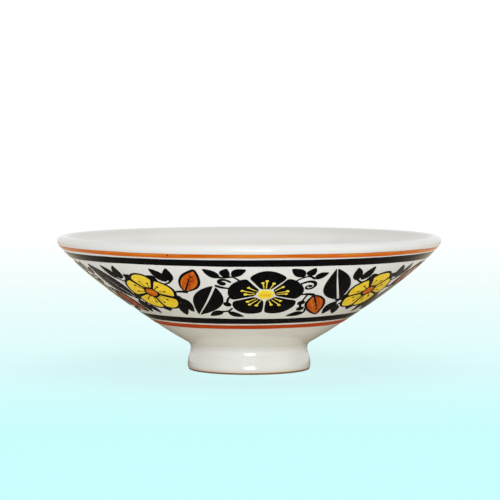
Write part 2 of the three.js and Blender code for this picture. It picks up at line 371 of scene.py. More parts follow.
def out_of_round(azimuth, run):
    """How far the glaze lies off the true form: low waves round the bowl that climb its wall, over
    its swell. The lip stays inside its true radius."""
    waves = sum(
        share * np.cos(cycles * azimuth + phase + run / climb)
        for share, cycles, phase, climb in ROUND_WAVES)
    return OUT_OF_ROUND * (waves - 1) / 2 + np.interp(run, *wall_swell.T)


def coat_swell(azimuth):
    """Out of round all over, with a faint throwing spiral on the inside."""
    run, radius = coat_run[:, None], coat[:, :1]
    inside = np.clip((run - wall_length - RIDGES_START) / RIDGES_FADE_IN, 0, 1)
    inside *= np.clip((radius - RIDGES_END) / RIDGES_FADE_OUT, 0, 1)
    ridge = THROWING_RIDGE * np.cos(2 * math.pi * run / THROWING_PITCH + azimuth)
    lift = out_of_round(azimuth, run) + inside * ridge
    lift *= np.clip(radius / TRUE_FLOOR, 0, 1)
    return np.vstack([np.zeros((len(clay_side), len(azimuth))), lift])


# Glossy white glaze: the colour drifts a little where it ran thick or thin. The lip is greyer,
# partly because the glaze ran thin off it and partly as painted shade that keeps the lip no brighter
# than the inside. The edge beside the bare clay is scorched brown. Iron in the clay shows as a few
# brown specks, and the fired surface has a very faint orange peel.
white_glaze, tree = new_material("glossy_white_glaze")
place = add(tree, "TexCoord").outputs["Object"]
drift = add(tree, "TexNoise", {"Vector": place, "Scale": 1 / (DRIFT_SIZE * MM), "Detail": 3})
drifted = add(tree, "MapRange", {"Value": drift, "From Min": 0.3, "From Max": 0.7})
# The thin mask greys the lip, partly for thin glaze and partly as painted shade
thin = add(tree, "Attribute", attribute_name="thin").outputs["Fac"]
above = add(tree, "SeparateXYZ", {0: place}).outputs["Z"]
near_end = add(tree, "MapRange", {
    "Value": above, "From Min": BARE_EDGE * MM, "From Max": (BARE_EDGE + END_FADES) * MM,
    "To Min": 0.55, "To Max": 0})
cells = add(tree, "TexVoronoi", {"Vector": place, "Scale": 1 / (SPECK_SPACING * MM)}).outputs
speck = add(tree, "MapRange", {
    "Value": cells["Distance"], "From Min": 0.025, "From Max": 0.05, "To Min": 0.75, "To Max": 0})
chosen = add(tree, "SeparateColor", {"Color": cells["Color"]}).outputs["Red"]
few = add(tree, "Math", {0: chosen, 1: 0.82}, operation="GREATER_THAN")
specked = add(tree, "Math", {0: speck, 1: few}, operation="MULTIPLY")
colour = WHITE
for factor, other in (
        (drifted, WHITE_WARM), (thin, WHITE_THIN_AND_SHADED), (near_end, WHITE_SCORCHED), (specked, IRON_SPECK)):
    colour = add(tree, "Mix", {"Factor": factor, "A": colour, "B": other}, data_type="RGBA")
peel = add(tree, "TexNoise", {"Vector": place, "Scale": 1 / (PEEL_SIZE * MM)})
peeled = add(tree, "Bump", {"Height": peel, "Strength": 0.12, "Distance": PEEL_DEPTH * MM})
finish = add(tree, "BsdfPrincipled", {"Base Color": colour, "Roughness": 0.14, "IOR": 1.5, "Normal": peeled})
add(tree, "OutputMaterial", {"Surface": finish})

closed_coat = np.vstack([clay_side, coat])
glaze_coat = turned("glaze_coat", closed_coat, white_glaze, coat_swell)

# How thin the glaze is at each point, which also places painted shade on the lip: full on the lip and
# fading to either side of it
off_lip = np.maximum(np.linalg.norm(closed_coat - lip_centre, axis=1) - lip_radius, 0)
copies = np.where(closed_coat[:, 0] < ON_AXIS, 1, SEGMENTS)
thin = glaze_coat.data.attributes.new("thin", "FLOAT", "POINT")
thin.data.foreach_set("value", np.repeat(np.maximum(1 - off_lip / LIP_FADES, 0), copies))
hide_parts("inside_glaze", "outside_glaze")

# Glaze in the foot's well
# The recess under the bowl is glazed like the rest, and the glaze stops at a soft edge above the
# bare resting ring.
COVE = 3
COVE_LEAN = 0.45
COVE_SHARE = 0.4
BEAD = 0.12
BEAD_HEIGHT = 1.2
CROWN, CROWN_HALFWAY = 0.12, 0.05
well_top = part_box("foot_well_glaze")[1].z / MM
well_radius = well_mouth - WELL_DRAFT
well_side = well_mouth - GLAZE
ceiling = well_top - GLAZE
soft_corner = bezier(
    np.array([well_radius - GLAZE - COVE, ceiling]), np.array([well_radius - GLAZE, ceiling]),
    np.array([well_side - COVE_LEAN, COVE_SHARE * well_top]), steps=14)
soft_end = bezier(
    np.array([well_side - BEAD, BARE_EDGE + BEAD_HEIGHT]), np.array([well_side, BARE_EDGE]),
    np.array([well_mouth, BARE_EDGE]), steps=6)
well_section = np.vstack([
    [[0, ceiling + CROWN], [well_radius / 2, ceiling + CROWN_HALFWAY]], soft_corner, soft_end,
    [[well_radius, well_top], [0, well_top]]])
well_glaze = turned("glaze_of_the_well", well_section, white_glaze)
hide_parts("foot_well_glaze")

# Banding lines
# Enamel lines drawn with a brush held still while the bowl turned on the wheel: black under
# orange at the lip, black over orange above the foot. Their width wanders with the hand.
ENAMEL = 0.14
SINK = 0.09
CAD_ENAMEL = 0.3
BAND_STEPS = 900
SHORT_WAVES = 0.12
BLACK = "#040406"
BLACK_THIN = "#0b0c15"
ORANGE = "#ca5a08"
ORANGE_PALE = "#db8220"
ORANGE_RIM = "#b04d0c"
RED_ORANGE = "#b83d03"
RED_ORANGE_PALE = "#c9560f"
RED_ORANGE_RIM = "#9c3409"

# The enamel's rounded edge: millimetres in from it, and the share of its height there. Below 0 it
# is the share of the depth that it is sunk into the glaze.
LINE_EDGE = [(0, -1), (0, 0.25), (0.04, 0.62), (0.14, 0.92), (0.3, 1)]

# The bulge of each edge of a line where its ends overlap: its size, and its shift and width in degrees
LOW_LAP = (0.15, 0, 4)
HIGH_LAP = (0.2, 3, 5)


def on_wall(azimuth, run, lift):
    """Points on the painted wall, at distances along it from the neck and above its glaze."""
    lift = lift + out_of_round(azimuth, run)
    (r, z), (out, up) = at_run(side, run), at_run(side_normal, run)
    r, z = r + out * lift, z + up * lift
    return np.stack([r * np.sin(azimuth), -r * np.cos(azimuth), z], -1)


def run_at(height, lift):
    """The distance along the wall at which a point lifted off it has a height."""
    return float(np.interp(height, side[:, 1] + side_normal[:, 1] * lift, side_run))


def line_edges(node):
    """The runs at which a packed line's glaze side begins and ends."""
    low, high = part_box(node)
    return run_at(low.z / MM, CAD_ENAMEL), run_at(high.z / MM, 0)


def lap(azimuth, at, bulge):
    """A bump where the brush began and ended its turn."""
    size, shift, width = bulge
    away = (azimuth - math.radians(at + shift) + math.pi) % (2 * math.pi) - math.pi
    return size * np.exp(-(away / math.radians(width)) ** 2)


def hand_waves(azimuth, size, rng):
    """An unsteady edge: waves of several lengths that close on themselves."""
    return sum(
        size / (1 + SHORT_WAVES * n) * math.sin(rng.uniform(0, 6)) * np.cos(n * azimuth + rng.uniform(0, 6))
        for n in (4, 7, 11, 17, 26, 41))


def quads(rows, columns, closed=True):
    """The faces of a grid of points. Each row closes on itself, and the last may join the first."""
    return [
        (i * columns + j, i * columns + (j + 1) % columns,
         (i + 1) % rows * columns + (j + 1) % columns, (i + 1) % rows * columns + j)
        for i in range(rows if closed else rows - 1) for j in range(columns)]


def add_brush(piece, along, across, inside):
    """Stores where each point lies in its brush stroke, in millimetres, for the enamel's streaks."""
    stroke = piece.data.attributes.new("brush", "FLOAT_VECTOR", "POINT")
    stroke.data.foreach_set("vector", np.stack([along, across, inside], -1).ravel())


def banding(name, paint, low_drift, high_drift, lap_at, seed, wander=0.08):
    """One line round the bowl, closed on itself. Its edges drift with azimuth, as the hand did."""
    material, slot = paint
    rng = random.Random(seed)
    azimuth = full_turn(BAND_STEPS)
    low, high = line_edges(f"{name}_line")
    start = low + hand_waves(azimuth, wander, rng) + low_drift(azimuth) - lap(azimuth, lap_at, LOW_LAP)
    end = high + hand_waves(azimuth, wander, rng) + high_drift(azimuth) + lap(azimuth, lap_at, HIGH_LAP)
    edge = [(inset, SINK * share if share < 0 else ENAMEL * share) for inset, share in LINE_EDGE]
    rows = [(start + inset, lift, inset) for inset, lift in edge]
    rows += [(start + (end - start) / 2, ENAMEL, 1)]
    rows += [(end - inset, lift, inset) for inset, lift in reversed(edge)]
    points = np.stack([on_wall(azimuth, run, lift) for run, lift, _ in rows])
    piece = new_piece(f"{name}_banding", points.reshape(-1, 3), quads(len(rows), BAND_STEPS), material)
    add_brush(
        piece, np.tile(np.abs(azimuth - math.pi) * at_run(side, low)[0], len(rows)),
        np.concatenate([run - start for run, _, _ in rows]),
        np.repeat([inset for _, _, inset in rows], BAND_STEPS))
    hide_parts(f"{name}_line")
    return piece


def enamel(name, slot, thick, thin, streaks, ior, rim=None):
    """Brushed enamel under clear gloss, returned with a slot name. Its streaks, given as
    length, width and share, run along the stroke where the brush left less colour. Its rim, given
    as colour and width, is another tone along the stroke's edge."""
    length, width, share = streaks
    material, tree = new_material(name)
    brush = add(tree, "Attribute", attribute_name="brush").outputs["Vector"]
    stretched = add(tree, "VectorMath", {0: brush, 1: (1 / length, 1 / width, 0)}, operation="MULTIPLY")
    streak = add(tree, "TexNoise", {"Vector": stretched, "Scale": 1, "Detail": 3})
    streaked = add(tree, "MapRange", {"Value": streak, "From Min": 0.62 - share * 0.3, "From Max": 0.72})
    colour = add(tree, "Mix", {"Factor": streaked, "A": thick, "B": thin}, data_type="RGBA")
    if rim:
        inside = add(tree, "SeparateXYZ", {0: brush}).outputs["Z"]
        edge = add(tree, "MapRange", {"Value": inside, "From Max": rim[1], "To Min": 1, "To Max": 0})
        colour = add(tree, "Mix", {"Factor": edge, "A": colour, "B": rim[0]}, data_type="RGBA")
    ridges = add(tree, "Bump", {"Height": streak, "Strength": 0.4, "Distance": 0.02 * MM})
    finish = add(tree, "BsdfPrincipled", {
        "Base Color": colour, "Roughness": 0.16, "IOR": ior, "Normal": ridges})
    add(tree, "OutputMaterial", {"Surface": finish})
    return material, slot


black_enamel = enamel("brushed_black_enamel", "black_enamel", BLACK, BLACK_THIN, (9, 0.9, 0.35), 1.22)
orange_enamel = enamel(
    "brushed_orange_enamel", "orange_enamel", ORANGE, ORANGE_PALE, (19, 1.4, 0.7), 1.25, (ORANGE_RIM, 0.25))
red_orange_enamel = enamel(
    "brushed_red_orange_enamel", "red_orange_enamel", RED_ORANGE, RED_ORANGE_PALE, (16, 1.2, 0.5), 1.25,
    (RED_ORANGE_RIM, 0.25))

banding(
    "upper_orange", orange_enamel,
    lambda a: -0.12 - 0.22 * np.sin(a) + 0.22 * np.cos(5 * a - 0.4),
    lambda a: -0.06 - 0.2 * np.sin(a) + 0.12 * np.cos(7 * a), lap_at=148, seed=11, wander=0.14)
banding(
    "upper_black", black_enamel,
    lambda a: -0.48 - 0.2 * np.sin(a) + 0.08 * np.cos(3 * a + 1),
    lambda a: 0.12 + 0.06 * np.cos(4 * a), lap_at=205, seed=12)
banding(
    "lower_black", black_enamel,
    lambda a: 0.22 * np.sin(a) + 0.08 * np.sin(3 * a),
    lambda a: 0.1 + 0.22 * np.sin(a) + 0.08 * np.cos(4 * a + 2), lap_at=118, seed=13)
banding(
    "lower_orange", red_orange_enamel,
    lambda a: -0.2 + 0.22 * np.sin(a) + 0.15 * np.cos(2 * a - 0.7),
    lambda a: 0.05 + 0.22 * np.sin(a) + 0.08 * np.sin(3 * a), lap_at=232, seed=14)

# Black blossoms
# Whole plum blossoms in black enamel, five brushed petals with the white glaze left between them.
# The heart and its stamens are dabbed over them in yellow.
BLOSSOMS = 4
PETALS = 5
PETAL_GAP = 0.65
PETAL_FULLNESS = 0.54
PETAL_ARC = 2.4
HEART = 0.25
HAND = 0.018
DAB_HAND = 0.03
YELLOW = "#fad83a"
YELLOW_DEEP = "#ebbb20"
YELLOW_RIM = "#f8df58"
FULL_STROKE = 0.35
OVER = ENAMEL + 0.1
STREAK_SHIFT = 900
STAMEN_WIDTH = 0.68

# A petal's stamens: the turn of each off the petal's middle in degrees, and its share of the radius
STAMENS = [(-17, 0.52), (0, 0.6), (17, 0.52)]

# The rounded edge of a dab, as for a line, and the rings inside it: their share of the way out
DAB_EDGE = [(0, -1), (0, 0.25), (0.05, 0.62), (0.16, 0.92), (0.4, 1), (1.1, 1)]
DAB_RINGS = (0.5, 0.22)

# A brush stroke's section, as shares of its half width and height, and the turns of its round ends
STROKE = [
    (-1, -1), (-1, 0.2), (-0.86, 0.62), (-0.5, 0.93), (0, 1), (0.5, 0.93), (0.86, 0.62), (1, 0.2), (1, -1)]
STROKE_END = np.radians([8, 32, 58])

band_middle = (line_edges("lower_black_line")[1] + line_edges("upper_black_line")[0]) / 2


def resampled(points, count, closed):
    """Points spread evenly along a line."""
    line = np.vstack([points, points[:1]]) if closed else points
    run = run_along(line)
    at = np.linspace(0, run[-1], count, endpoint=not closed)
    return np.stack([np.interp(at, run, column) for column in line.T], 1)


def softened(outline, count=72, passes=5):
    """A closed outline with its corners worn round, as a brush leaves them."""
    points = resampled(outline, count, True)
    for _ in range(passes):
        points = (np.roll(points, 1, 0) + 2 * points + np.roll(points, -1, 0)) / 4
    return points


def by_hand(outline, rng, size):
    """An outline drawn a little unevenly."""
    turn, middle = full_turn(len(outline)), outline.mean(0)
    uneven = 1 + sum(
        size * rng.uniform(0.4, 1) * np.cos(n * turn + rng.uniform(0, 6)) for n in (2, 3, 4))
    return middle + (outline - middle) * uneven[:, None]


def turned_by(points, degrees):
    c, s = direction(degrees)
    return points @ np.array([[c, s], [-s, c]])


def pad(outline, rng, top=ENAMEL, grain=0):
    """A dab of enamel inside an outline: points across the wall, up the wall and off it, its faces
    and its brush places. grain is the direction of its strokes in degrees."""
    middle = outline.mean(0)
    arm = outline - middle
    reach = np.linalg.norm(arm, axis=1)[:, None]
    count = len(outline)
    rings = [
        (middle + arm * np.maximum(1 - inset / reach, 0.2), SINK * share if share < 0 else top * share, inset)
        for inset, share in DAB_EDGE]
    rings += [(middle + (rings[-1][0] - middle) * share, top, 2) for share in DAB_RINGS]
    points = [np.column_stack([flat, np.full(count, lift)]) for flat, lift, _ in rings]
    points = np.vstack(points + [[[*middle, top]], [[*middle, -SINK]]])
    inside = np.concatenate([np.full(count, inset) for _, _, inset in rings] + [[3, 0]])
    last = len(rings) * count
    faces = []
    for j in range(count):
        k = (j + 1) % count
        faces += [
            (i * count + j, i * count + k, (i + 1) * count + k, (i + 1) * count + j)
            for i in range(len(rings) - 1)]
        faces.append((last - count + j, last - count + k, last))
        faces.append((k, j, last + 1))
    flat = turned_by(points[:, :2], -grain)
    return points, faces, np.column_stack([flat + rng.uniform(0, STREAK_SHIFT), inside])


def stroke(path, widths, rng, top=ENAMEL, closed=False, step=0.45):
    """A brush stroke along a path, as wide as widths say along it, with round ends."""
    count = max(8, int(np.linalg.norm(np.diff(path, axis=0), axis=1).sum() / step))
    line = resampled(path, count, closed)
    half = np.interp(np.linspace(0, 1, count), np.linspace(0, 1, len(widths)), widths) / 2
    if closed:
        run = np.roll(line, -1, 0) - np.roll(line, 1, 0)
    else:
        ahead = heading(line)
        out, wide = np.cos(STROKE_END), np.sin(STROKE_END)
        before = line[0] - ahead[0] * (half[0] * out)[:, None]
        after = line[-1] + ahead[-1] * (half[-1] * out[::-1])[:, None]
        line = np.vstack([before, line, after])
        half = np.concatenate([half[0] * wide, half, half[-1] * wide[::-1]])
        run = np.gradient(line, axis=0)
    run = run / np.linalg.norm(run, axis=1)[:, None]
    across = np.stack([-run[:, 1], run[:, 0]], 1)
    thin = np.minimum(1, half / FULL_STROKE)
    points = np.stack([
        np.column_stack([
            line + across * (half * off)[:, None], np.where(lift < 0, -SINK, top * lift * thin)])
        for off, lift in STROKE], 1)
    rings, around = len(line), len(STROKE)
    faces = [(b, a, d, c) for a, b, c, d in quads(rings, around, closed)]
    if not closed:
        faces += [tuple(range(around)), tuple(reversed(range((rings - 1) * around, rings * around)))]
    along = run_along(line)
    brush = np.stack([
        np.column_stack([along, off * half, (1 - abs(off)) * half]) for off, _ in STROKE], 1)
    brush[..., :2] += rng.uniform(0, STREAK_SHIFT)
    return points.reshape(-1, 3), faces, brush.reshape(-1, 3)


def painted(name, shapes, azimuth, run, paint, node=None):
    """Lays shapes on the wall as one piece, about a middle at an azimuth and a run up the wall."""
    material, slot = paint
    points, faces, brush = [], [], []
    for shape_points, shape_faces, shape_brush in shapes:
        first = sum(len(p) for p in points)
        points.append(shape_points)
        brush.append(shape_brush)
        faces += [tuple(first + i for i in face) for face in shape_faces]
    points, brush = np.vstack(points), np.vstack(brush)
    up = run + points[:, 1]
    turn = math.radians(azimuth) + points[:, 0] / at_run(side, up)[0]
    piece = new_piece(name, on_wall(turn, up, points[:, 2]), faces, material)
    add_brush(piece, *brush.T)
    if node:
        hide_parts(node)
    return piece


def corners_of(node):
    """Azimuth in degrees and run up the wall of a painted node's lowest and highest points."""
    cad = np.array([v.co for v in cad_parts[node].data.vertices]) / MM
    ends = (cad[cad[:, 2].argmin()], CAD_ENAMEL), (cad[cad[:, 2].argmax()], 0)
    return [(math.degrees(math.atan2(x, -y)), run_at(z, lift)) for (x, y, z), lift in ends]


def blossom_place(node):
    """Azimuth and radius of a blossom whose upper petal points up the wall from mid band."""
    azimuth, top = corners_of(node)[1]
    return azimuth, top - band_middle


def petal_outline(radius, gap, heart):
    """One round petal that points along +X, cut off beside its neighbours and round the heart."""
    tip = radius * PETAL_FULLNESS
    half = math.pi / PETALS
    outer = (radius - tip, 0) + tip * unit(np.linspace(-1, 1, 60) * PETAL_ARC)
    distance, angle = np.hypot(*outer.T), np.arctan2(outer[:, 1], outer[:, 0])
    limit = half - gap / 2 / heart
    inner = heart * unit(np.linspace(limit, -limit, 9))
    return np.vstack([outer[np.abs(angle) < half - gap / 2 / distance], inner])


def dab(x, y, radius, rng, top=ENAMEL, count=28):
    return pad(by_hand(unit(full_turn(count)) * radius, rng, DAB_HAND) + (x, y), rng, top)


yellow_enamel = enamel(
    "brushed_yellow_enamel", "yellow_enamel", YELLOW, YELLOW_DEEP, (7, 1.3, 0.7), 1.25, (YELLOW_RIM, 1.2))


def black_blossom(number):
    rng = random.Random(100 + number)
    node = f"black_blossom_{number}"
    azimuth, radius = blossom_place(node)
    heart = HEART * radius
    petals, yellow = [], [dab(0, 0, heart - PETAL_GAP, rng)]
    for n in range(PETALS):
        turn = 90 + n * 360 / PETALS + rng.uniform(-1.5, 1.5)
        outline = softened(petal_outline(radius * rng.uniform(0.985, 1), PETAL_GAP, heart))
        outline = by_hand(turned_by(outline, turn), rng, HAND)
        petals.append(pad(outline, rng, ENAMEL, turn))
        for off, share in STAMENS:
            lean = turn + off + rng.uniform(-3, 3)
            reach = radius * share * rng.uniform(0.94, 1.06)
            path = np.outer(np.linspace(heart + 0.5, reach, 6), direction(lean))
            path += np.outer(np.sin(np.linspace(0, 2, 6)) * rng.uniform(-0.25, 0.25), direction(lean + 90))
            yellow.append(stroke(path, [0.7 * STAMEN_WIDTH, STAMEN_WIDTH], rng, OVER))
            yellow.append(dab(*path[-1], STAMEN_WIDTH * rng.uniform(0.95, 1.2), rng, OVER, 16))
    painted(f"black_petals_{number}", petals, azimuth, band_middle, black_enamel, node)
    painted(f"yellow_heart_{number}", yellow, azimuth, band_middle, yellow_enamel)


for number in range(1, BLOSSOMS + 1):
    black_blossom(number)

# Speck
# A drop of the black enamel that fell from the brush on the upper orange line and was fired there.
SPECK_RADIUS, SPECK_TOP = 0.42, 0.24
SPECK_AZIMUTH, SPECK_UP = -23.4, 1.2
speck_dab = dab(0, 0, SPECK_RADIUS, random.Random(7), SPECK_TOP, 12)
painted(
    "black_speck", [speck_dab], SPECK_AZIMUTH, line_edges("upper_orange_line")[0] + SPECK_UP, black_enamel)

# Yellow blossoms
# Smaller plum blossoms: yellow enamel petals first, then black outlines, heart ring and stamens
# over them with a pointed brush. The heart is a dab of orange.
OUTLINE = 1.15
FINE_LINE = 0.6
YELLOW_HEART = 0.24
YELLOW_GAP = 0.1
HEART_RING = [0.9, 1.05, 0.85, 1, 0.9]
SEPAL_START, SEPAL_BEYOND, SEPAL_WIDTH = 6.2, 1.2, 6.8
UNDER = 0.09


def leaflet(base, tip, width, rng, top=ENAMEL):
    """A small leaf made by pressing the brush down and lifting it off at the tip."""
    along = tip - base
    side = np.array([-along[1], along[0]]) / np.hypot(*along)
    share = np.linspace(0, 1, 26)[:, None]
    half = width / 2 * np.sin(math.pi * share ** 0.78) ** 0.85
    bow = rng.uniform(-0.5, 0.5) * np.sin(math.pi * share)
    spine = base + along * share + side * bow
    outline = np.vstack([spine - side * half, (spine + side * half)[-2:0:-1]])
    return pad(softened(outline, 60, 2), rng, top, math.degrees(math.atan2(along[1], along[0])))


def outlined(outline, rng, least, most):
    """A black line round a shape, thicker and thinner as the brush was pressed."""
    widths = [OUTLINE * rng.uniform(least, most) for _ in range(7)]
    return stroke(outline, widths + widths[:1], rng, OVER, closed=True)


def yellow_blossom(number):
    rng = random.Random(200 + number)
    node = f"yellow_blossom_{number}"
    azimuth, radius = blossom_place(node)
    heart = YELLOW_HEART * radius
    fills, lines, sepals = [], [], []
    for n in range(PETALS):
        turn = 90 + n * 360 / PETALS + rng.uniform(-2, 2)
        outline = softened(petal_outline(radius - OUTLINE / 2, YELLOW_GAP, heart))
        outline = by_hand(turned_by(outline, turn), rng, HAND)
        fills.append(pad(outline, rng, ENAMEL, turn))
        lines.append(outlined(outline, rng, 0.8, 1.15))
        notch = direction(turn + 180 / PETALS)
        sepals.append(leaflet(SEPAL_START * notch, (radius + SEPAL_BEYOND) * notch, SEPAL_WIDTH, rng, UNDER))
        for off in (-15, 15):
            lean = turn + off + rng.uniform(-3, 3)
            path = np.outer(np.linspace(heart, radius * rng.uniform(0.5, 0.58), 6), direction(lean))
            lines.append(stroke(path, [FINE_LINE, 0.8 * FINE_LINE], rng, OVER))
            lines.append(dab(*path[-1], FINE_LINE * 0.95, rng, OVER, 16))
    lines.append(stroke(heart * unit(full_turn(40)), HEART_RING, rng, OVER, closed=True))
    middle = dab(0, 0, heart - 0.2, rng)
    painted(f"yellow_petals_{number}", fills, azimuth, band_middle, yellow_enamel, node)
    painted(f"petal_outlines_{number}", lines + sepals, azimuth, band_middle, black_enamel)
    painted(f"orange_heart_{number}", [middle], azimuth, band_middle, orange_enamel)


for number in range(1, BLOSSOMS + 1):
    yellow_blossom(number)

# Leaves
# Black leaves are two brush strokes with the white vein left between them. Orange leaves are
# filled first and then outlined and veined in black.
BLACK_LEAF_WIDTH = 11.5
ORANGE_LEAF_WIDTH = 8.5
VEIN_GAP = 0.85
LEAF_BEND = 0.35
LEAF_HAND, ORANGE_LEAF_HAND = 0.012, 0.015
LEAF_ORANGE = "#b8450a"
LEAF_ORANGE_PALE = "#db7a22"
LEAF_RIM = "#a33c08"

# An orange leaf's ribs, as shares of its length and width: the start of each pair and how far out
RIBS = [(-0.2, 0.3), (-0.02, 0.3), (0.14, 0.22)]

# A thinner, streakier coat than the lines have, so more of the white shows through it
leaf_enamel = enamel(
    "brushed_leaf_orange_enamel", "orange_enamel", LEAF_ORANGE, LEAF_ORANGE_PALE, (8, 1.5, 0.75), 1.25,
    (LEAF_RIM, 0.7))


def leaf_axis(node, tip_is_high):
    """A painted leaf's middle, as azimuth and run, with its length and its turn in degrees."""
    ends = corners_of(node)
    stalk, tip = ends if tip_is_high else ends[::-1]
    run = (stalk[1] + tip[1]) / 2
    across = math.radians(tip[0] - stalk[0]) * at_run(side, run)[0]
    up = tip[1] - stalk[1]
    azimuth = (stalk[0] + tip[0]) / 2
    return azimuth, run, math.hypot(across, up), math.degrees(math.atan2(up, across))


def leaf_edge(length, width, steps=40):
    """The upper edge of a leaf along +X, from stalk to tip, with the belly nearer to the stalk."""
    share = np.linspace(0, 1, steps)
    belly = np.sin(math.pi * share ** 0.85) ** 0.9
    return np.column_stack([(share - 0.5) * length, width / 2 * belly])


def black_leaf(number):
    rng = random.Random(300 + number)
    node = f"black_leaf_{number}"
    azimuth, run, length, turn = leaf_axis(node, number % 2 == 1)
    edge = leaf_edge(length - 0.6, BLACK_LEAF_WIDTH)
    bend = LEAF_BEND * np.sin(math.pi * np.linspace(0, 1, len(edge)))
    gap = VEIN_GAP / 2 * np.linspace(1.15, 0.45, len(edge))
    halves = []
    for hand in (1, -1):
        vein = np.column_stack([edge[:, 0], hand * gap + bend])
        outer = np.column_stack([edge[:, 0], hand * np.maximum(edge[:, 1], gap + 0.15) + bend])
        outline = turned_by(softened(np.vstack([outer, vein[::-1]])[::hand], 84, 3), turn)
        halves.append(pad(by_hand(outline, rng, LEAF_HAND), rng, ENAMEL, turn))
    painted(f"black_leaf_paint_{number}", halves, azimuth, run, black_enamel, node)


def orange_leaf(number):
    rng = random.Random(400 + number)
    node = f"orange_leaf_{number}"
    azimuth, run, length, turn = leaf_axis(node, number % 2 == 0)
    edge = leaf_edge(length - OUTLINE, ORANGE_LEAF_WIDTH - OUTLINE)
    outline = np.vstack([edge, (edge * (1, -1))[-2:0:-1]])[::-1]
    outline = by_hand(turned_by(softened(outline, 80, 2), turn), rng, ORANGE_LEAF_HAND)
    fill = pad(outline, rng, ENAMEL, turn)
    lines = [outlined(outline, rng, 0.75, 1.1)]
    vein = np.column_stack([np.linspace(-0.5, 0.3, 8) * length, np.sin(np.linspace(0, 3, 8)) * 0.3])
    lines.append(stroke(turned_by(vein, turn), [0.9, 0.7, 0.35], rng, OVER))
    for start, reach in RIBS:
        for hand in (1, -1):
            rib = [[start, 0], [start + 0.09, hand * reach * 0.5], [start + 0.15, hand * reach * 0.8]]
            rib = turned_by(np.array(rib) * (length, ORANGE_LEAF_WIDTH), turn)
            lines.append(stroke(rib, [0.5, 0.45, 0.2], rng, OVER))
    painted(f"orange_leaf_paint_{number}", [fill], azimuth, run, leaf_enamel, node)
    painted(f"leaf_lines_{number}", lines, azimuth, run, black_enamel)


for number in range(1, 2 * BLOSSOMS + 1):
    black_leaf(number)
    orange_leaf(number)

# Vine
# Stems, curling tendrils, berries and small pressed leaves in black, drawn freehand in the white
# that blossoms and leaves leave, one piece for each space between two blossoms.
STEM = [0.9, 1.4, 1.6]
STEM_BULGE = 0.15
STEM_START = 0.9
TENDRIL = 1.5
TENDRIL_TURNS = 1.35
TENDRIL_STEPS = 40
TENDRIL_TIP = 0.85
BERRY = 1.6
TWIG = 1.05
LEAFLET = 1.2
SPACES = 2 * BLOSSOMS

# Places are degrees on from the blossom at the start of the space and millimetres up from mid band.
# A leaflet has a base, a tip and a width. A tendril has a place, a direction in degrees, a size and
# a hand. Berries have a stalk and how many of its bends carry one.
AFTER_BLACK = {
    "leaflets": [
        ((12, 11.2), (6.9, 15.9), 3.4), ((13.6, 11.3), (14.6, 16.3), 3.4),
        ((15.6, 9.8), (19.9, 13.2), 3.2), ((33.2, 7.6), (29.7, 15.6), 3.8),
        ((34.7, 7.8), (36.8, 15.9), 3.8), ((19.6, -13.5), (11.2, -15.8), 2.8),
        ((32.3, -6.2), (30.7, -15.5), 4), ((34.4, -9.2), (37.6, -15.7), 3.4)],
    "twigs": [
        [(9.6, 8.6), (11.6, 10.6), (13.6, 11.2), (15.6, 9.8)], [(38.6, 6), (35.5, 6.3), (33.4, 7.8)],
        [(36.4, -4.6), (33.6, -4.8), (32.2, -6.6)], [(37, -7.2), (35.2, -7.8), (34.3, -9.6)],
        [(18.6, -10.6), (19.4, -12.4), (18.8, -13.8)]],
    "tendril": ((10.8, 5.7), 52, 5, -1),
    "berries": ([(16.2, -0.2), (15.4, -6.2), (16.3, -10.4)], 2),
}
AFTER_YELLOW = {
    "leaflets": [
        ((10.7, 7.6), (6.5, 15.3), 3.8), ((12.1, 7.8), (12.9, 15.9), 3.8),
        ((29.6, 10.7), (24.7, 15.9), 3.4), ((31.3, 10.9), (32.3, 16.2), 3.4),
        ((33.5, 11.7), (38.3, 15.7), 3.2), ((12.6, -3.4), (13.5, -13.2), 3.7),
        ((9.9, -8.0), (8.3, -15.8), 3.4), ((27.6, -11.9), (20.7, -15.6), 2.8),
        ((29.5, -12.3), (37, -15.8), 2.8)],
    "twigs": [
        [(8.2, 5.8), (10.4, 6.4), (12.1, 8.0)], [(36.2, 8.6), (34, 11.2), (31.4, 10.9), (29.4, 10.9)],
        [(9.8, -1.6), (11.4, -2.2), (12.2, -4.0)], [(8.6, -5.8), (9.6, -6.6), (9.9, -8.4)],
        [(31.6, -9.8), (30.2, -11.6), (28.4, -12.1), (27.0, -12.1)]],
    "tendril": ((32.9, 7.9), 126, 3.3, 1),
    "berries": ([(31.8, -1.6), (30.7, -3.4), (30.2, -6.8)], 1),
}


def tendril(start, lean, size, hand, rng):
    """A short stalk that rolls up to a dot. hand is 1 to roll left and -1 to roll right."""
    share = np.linspace(0, 1, TENDRIL_STEPS)
    bearing = np.radians(lean) + hand * (2 * math.pi * TENDRIL_TURNS) * share ** 1.25
    pace = size * (1.15 - 0.95 * share)
    line = start + np.cumsum(unit(bearing) * pace[:, None], 0) * (5 / TENDRIL_STEPS)
    return [
        stroke(line, [TENDRIL * 0.8, TENDRIL, TENDRIL * 0.8, 0.6], rng, ENAMEL * 0.9, step=0.3),
        dab(*line[-1], TENDRIL_TIP, rng, ENAMEL, 18)]


def twig(points, rng, top):
    return stroke(flowing(points, 6), [0.8 * TWIG, TWIG], rng, top)


def stem(start, end, rng):
    """A bent stem that thickens from a blossom to a leaf's stalk."""
    side = np.array([-(end - start)[1], (end - start)[0]])
    return stroke(bezier(start, (start + end) / 2 + side * STEM_BULGE, end, 12), STEM, rng)


